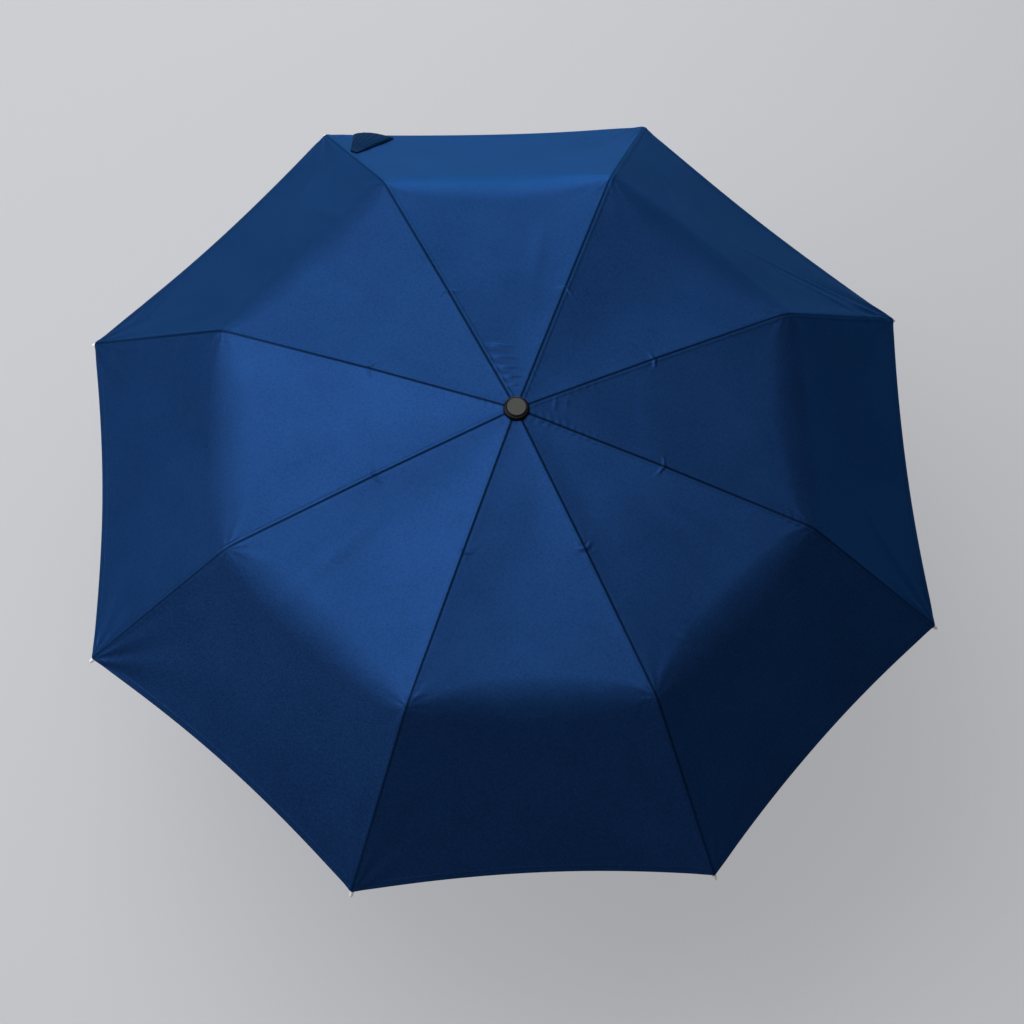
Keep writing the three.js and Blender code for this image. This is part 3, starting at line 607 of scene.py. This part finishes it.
def cloth_material(name, dark, light, thread_and_shade, seams):
    """Tightly woven, dyed polyester whose gloss has the cloth's colour; painted shade darkens the seams'
    folds and a ring round the cap, or the strap's free edge.
    """
    nodes = Nodes(name)
    place = nodes.node("ShaderNodeUVMap", uv_map="cloth").outputs["UV"]
    world = nodes.node("ShaderNodeTexCoord").outputs["Object"]
    parts = nodes.node("ShaderNodeSeparateXYZ")
    nodes.link(place, parts.inputs[0])
    side, arc = parts.outputs[0], parts.outputs[1]
    warp = nodes.math("SINE", nodes.math("MULTIPLY", side, 2 * math.pi / THREAD_STEP))
    weft = nodes.math("SINE", nodes.math("MULTIPLY", arc, 2 * math.pi / THREAD_STEP))
    weave = nodes.math("MULTIPLY", warp, weft)
    grain = nodes.noise(world, 420.0, 3.0, 0.65)
    cloud = nodes.noise(world, 11.0, 5.0, 0.6)
    colour = nodes.blend(nodes.ramp(cloud, ((0.3, BLACK), (0.7, WHITE))), dark, light)
    speckle = nodes.ramp(grain, ((0.35, (0.84, 0.84, 0.84)), (0.65, (1.12, 1.12, 1.12))))
    colour = nodes.blend(1.0, colour, speckle, "MULTIPLY")
    height = nodes.math("ADD", nodes.math("MULTIPLY", weave, 0.4), nodes.math("MULTIPLY", grain, 2.0))
    normal = nodes.bump(height, 0.0002, 0.35)
    if seams:
        # Painted shade: a dark line along the rib for the shade in the seam's fold.
        seam = nodes.math("DIVIDE", nodes.math("ABSOLUTE", side), SEAM_SHADE_WIDTH)
        seam = nodes.math("SUBTRACT", 1.55, seam, clamp=True)
        beside_stitch = nodes.math("ABSOLUTE", nodes.math("ADD", side, SEAM_STITCH))
        beside_hem = nodes.math("ABSOLUTE", nodes.math("SUBTRACT", arc, HEM_STITCH))
        stitch = stitches(nodes, beside_stitch, SEAM_STITCH_WIDTH, arc)
        hem = stitches(nodes, beside_hem, HEM_STITCH_WIDTH, side)
        threads = nodes.math("MAXIMUM", stitch, hem)
        colour = nodes.blend(nodes.math("MULTIPLY", threads, 0.45), colour, thread_and_shade)
        # The painted shade in the seam's fold is stronger nearer the shaft and fainter towards the hem.
        seam_shade_by_arc = nodes.ramp(arc, tuple((place, (dark_share,) * 3) for place, dark_share in SEAM_SHADE_FADE))
        colour = nodes.blend(nodes.math("MULTIPLY", seam, seam_shade_by_arc), colour, thread_and_shade)
        # Painted shade: a ragged dark ring on the cloth round the cap.
        cap_shade_noise = nodes.noise(world, 900.0, 2.0, 0.5)
        cap_shade_end = nodes.math("MULTIPLY_ADD", cap_shade_noise, CAP_SHADE_RAGGED, CAP_SHADE_END)
        cap_shade = nodes.math("LESS_THAN", arc, cap_shade_end)
        colour = nodes.blend(cap_shade, colour, thread_and_shade)
        normal = nodes.bump(threads, 0.0003, -0.6, normal)
    else:
        # Painted shade along the strap's free edge, partly its dark underside.
        edge = nodes.ramp(side, ((STRAP_SHADE_EDGE[0], BLACK), (STRAP_SHADE_EDGE[1], WHITE)))
        colour = nodes.blend(edge, colour, thread_and_shade)
    rough = nodes.math("MULTIPLY_ADD", grain, ROUGHNESS_SPREAD, CLOTH_ROUGHNESS)
    return nodes.set(Base_Color=colour, Metallic=CLOTH_METALLIC, Roughness=rough, Normal=normal,
                 Specular_IOR_Level=0.0, Specular_Tint=CLOTH_TINT)


def darker(colour, share):
    return tuple(share * value for value in colour)


def solid_material(name, colour, roughness, grain=900.0, bump=0.00004, **extra):
    """Plastic or rubber with a fine grain and faint broad patches."""
    nodes = Nodes(name)
    world = nodes.node("ShaderNodeTexCoord").outputs["Object"]
    fine = nodes.noise(world, grain, 4.0, 0.6)
    broad = nodes.noise(world, 35.0, 3.0, 0.5)
    shade = nodes.blend(nodes.math("MULTIPLY", broad, 0.24), colour, darker(colour, 0.6))
    rough = nodes.math("MULTIPLY_ADD", fine, 0.14, roughness - 0.07)
    normal = nodes.bump(fine, bump, 0.5)
    return nodes.set(Base_Color=shade, Roughness=rough, Normal=normal, **extra)


def drawn_metal(name, colour, roughness, metallic=1.0):
    """Metal with fine lines along the shaft or rib, as drawing leaves them."""
    nodes = Nodes(name)
    world = nodes.node("ShaderNodeTexCoord").outputs["Object"]
    stretch = nodes.node("ShaderNodeMapping")
    stretch.inputs["Scale"].default_value = (900, 900, 12)
    nodes.link(world, stretch.inputs["Vector"])
    lines = nodes.noise(stretch.outputs[0], 1.0, 3.0, 0.6)
    broad = nodes.noise(world, 28.0, 3.0, 0.5)
    shade = nodes.blend(nodes.math("MULTIPLY", broad, 0.3), colour, darker(colour, 0.55))
    rough = nodes.math("MULTIPLY_ADD", lines, 0.18, roughness - 0.09)
    normal = nodes.bump(lines, 0.00003, 0.4)
    return nodes.set(Base_Color=shade, Roughness=rough, Metallic=metallic, Normal=normal)


NAVY_DARK = (0.0078, 0.0310, 0.1060)
NAVY_LIGHT = (0.0094, 0.0372, 0.1270)
# Darkest navy: the stitches' thread, and the painted shade in the seams' folds, round the cap and at the
# strap's edge.
NAVY_THREAD_AND_SHADE = (0.0010, 0.0050, 0.0150)
MATERIALS = {
    "cloth_navy": cloth_material("navy_cloth", NAVY_DARK, NAVY_LIGHT, NAVY_THREAD_AND_SHADE, True),
    "strap_navy": cloth_material(
        "navy_strap", (0.0040, 0.0080, 0.028), (0.0052, 0.0105, 0.037), NAVY_THREAD_AND_SHADE, False),
    "cap_olive": solid_material("olive_cap", linear(37, 40, 34), 0.66, bump=0.00006),
    "plastic_black": solid_material("black_plastic", linear(7, 8, 9), 0.34, Specular_IOR_Level=0.3),
    "plastic_matt": solid_material("matt_plastic", linear(18, 19, 21), 0.5),
    "grip_rubber": solid_material("grip_rubber", linear(28, 29, 31), 0.72, grain=1600.0, bump=0.00012),
    "tip_white": solid_material("white_tip", linear(226, 227, 224), 0.38),
    "tube_steel": drawn_metal("steel_tube", linear(188, 190, 194), 0.26),
    "tube_black": drawn_metal("black_tube", linear(26, 27, 30), 0.36, 0.35),
    "rib_steel": drawn_metal("steel_rib", linear(150, 152, 156), 0.34),
    "rib_aluminium": drawn_metal("aluminium_rib", linear(196, 198, 202), 0.36),
    "spring_steel": drawn_metal("spring_wire", linear(168, 166, 160), 0.3),
}


SHARP_ANGLE = math.radians(35)
BEVEL_WIDTH = 0.0003
MERGE_DISTANCE = 0.00001


def smoothing_group():
    """Smooth shading that keeps edges over the sharp angle, with the mesh left as it is."""
    group = bpy.data.node_groups.new("smooth_by_angle", "GeometryNodeTree")
    group.interface.new_socket("Geometry", in_out="INPUT", socket_type="NodeSocketGeometry")
    group.interface.new_socket("Geometry", in_out="OUTPUT", socket_type="NodeSocketGeometry")
    source = group.nodes.new("NodeGroupInput")
    target = group.nodes.new("NodeGroupOutput")
    drop = group.nodes.new("GeometryNodeRemoveAttribute")
    drop.inputs["Name"].default_value = "custom_normal"
    merge = group.nodes.new("GeometryNodeMergeByDistance")
    merge.inputs["Distance"].default_value = MERGE_DISTANCE
    faces = group.nodes.new("GeometryNodeSetShadeSmooth")
    edges = group.nodes.new("GeometryNodeSetShadeSmooth")
    edges.domain = "EDGE"
    angle = group.nodes.new("GeometryNodeInputMeshEdgeAngle")
    below = group.nodes.new("FunctionNodeCompare")
    below.data_type = "FLOAT"
    below.operation = "LESS_THAN"
    below.inputs[1].default_value = SHARP_ANGLE
    chain = (source, drop, merge, faces, edges)
    for previous, node in zip(chain, chain[1:]):
        group.links.new(previous.outputs[0], node.inputs["Geometry"])
    group.links.new(edges.outputs[0], target.inputs[0])
    group.links.new(angle.outputs["Unsigned Angle"], below.inputs[0])
    group.links.new(below.outputs[0], edges.inputs["Shade Smooth"])
    return group


SMOOTH = smoothing_group()
BEVELLED = ("handle_end_cap", "tip_cup", "push_button", "runner", "crown", "cap_ring", "top_cap")
for name, node in frame["nodes"].items():
    slot = node.data.materials[0].name.split(".")[0]
    node.material_slots[0].material = MATERIALS[slot]
    shading = node.modifiers.new("smooth", "NODES")
    shading.node_group = SMOOTH
    if name in BEVELLED:
        bevel = node.modifiers.new("edges", "BEVEL")
        bevel.width = BEVEL_WIDTH
        bevel.segments = 2
        bevel.limit_method = "ANGLE"
        bevel.angle_limit = SHARP_ANGLE
        bevel.harden_normals = True

ring_black = solid_material("ring_black", linear(6, 6, 7), 0.42, Specular_IOR_Level=0.1)
frame["nodes"]["cap_ring"].material_slots[0].material = ring_black

for piece in cloth:
    piece.data.materials.append(MATERIALS["cloth_navy"])
strap.data.materials.append(MATERIALS["strap_navy"])

# ---- Floor, light and camera -------------------------------------------

FLOOR_SIZE, FLOOR_LEVEL = 50, -0.002
FLOOR_GLOW = 0.68                   # the floor's own light is more than half of its brightness
bpy.ops.mesh.primitive_plane_add(size=FLOOR_SIZE, location=(0, 0, FLOOR_LEVEL))
floor = bpy.context.object
floor.name = "floor"
floor_nodes = Nodes("floor_grey")
floor.data.materials.append(floor_nodes.set(
    Base_Color=linear(115, 116, 118), Roughness=0.85,
    Emission_Color=linear(186, 187, 190), Emission_Strength=FLOOR_GLOW))

# Solved from the photograph's rib corners, knees and cap.
AIM = Vector((0.0266, -0.0801, 0.5))
AZIMUTH, ELEVATION, ROLL = (math.radians(angle) for angle in (12.816, 66.31, 6.83))
DISTANCE = 2.5811
FOCAL_LENGTH, SENSOR_WIDTH, FAR_LIMIT = 86.29, 36, 50
back = Vector((
    math.sin(AZIMUTH) * math.cos(ELEVATION),
    -math.cos(AZIMUTH) * math.cos(ELEVATION),
    math.sin(ELEVATION),
))

# Level directions roughly to the right and to the top of the picture. They were entered rounded,
# and lie about a degree off square.
FLOOR_RIGHT = Vector((0.945, 0.327, 0))
FLOOR_UP = Vector((-0.347, 0.938, 0))
LIGHT_AIM = Vector((0, 0, 0.5))
LIGHT_DISTANCE = 2.6


def area_light(name, around, tilt, power, size=1.6):
    """Square light aimed at the canopy; around turns from the picture's top towards its left."""
    around, tilt = math.radians(around), math.radians(tilt)
    level = FLOOR_UP * math.cos(around) - FLOOR_RIGHT * math.sin(around)
    way = (Vector((0, 0, 1)) * math.cos(tilt) + level * math.sin(tilt)).normalized()
    light = bpy.data.lights.new(name, "AREA")
    light.shape = "SQUARE"
    light.size = size
    light.energy = power
    obj = bpy.data.objects.new(name, light)
    obj.location = LIGHT_AIM + LIGHT_DISTANCE * way
    obj.rotation_euler = (-way).to_track_quat("-Z", "Y").to_euler()
    bpy.context.scene.collection.objects.link(obj)


area_light("overhead", 60, 8, 34, size=2.4)
area_light("key", 50, 30, 42, size=2.0)
area_light("side", 92, 55, 34)
area_light("rear", 2, 79, 40)

world = bpy.data.worlds.new("studio")
world.use_nodes = True
background = world.node_tree.nodes["Background"]
background.inputs["Color"].default_value = (0.93, 0.96, 1.0, 1)
background.inputs["Strength"].default_value = 0.06
bpy.context.scene.world = world

lens = bpy.data.cameras.new("camera")
lens.lens = FOCAL_LENGTH
lens.sensor_width = SENSOR_WIDTH
lens.clip_end = FAR_LIMIT
camera = bpy.data.objects.new("camera", lens)
camera.location = AIM + DISTANCE * back
turned = (-back).to_track_quat("-Z", "Y") @ Quaternion((0, 0, 1), ROLL)
camera.rotation_euler = turned.to_euler()
bpy.context.scene.collection.objects.link(camera)
bpy.context.scene.camera = camera
bpy.context.scene.view_settings.view_transform = "Standard"
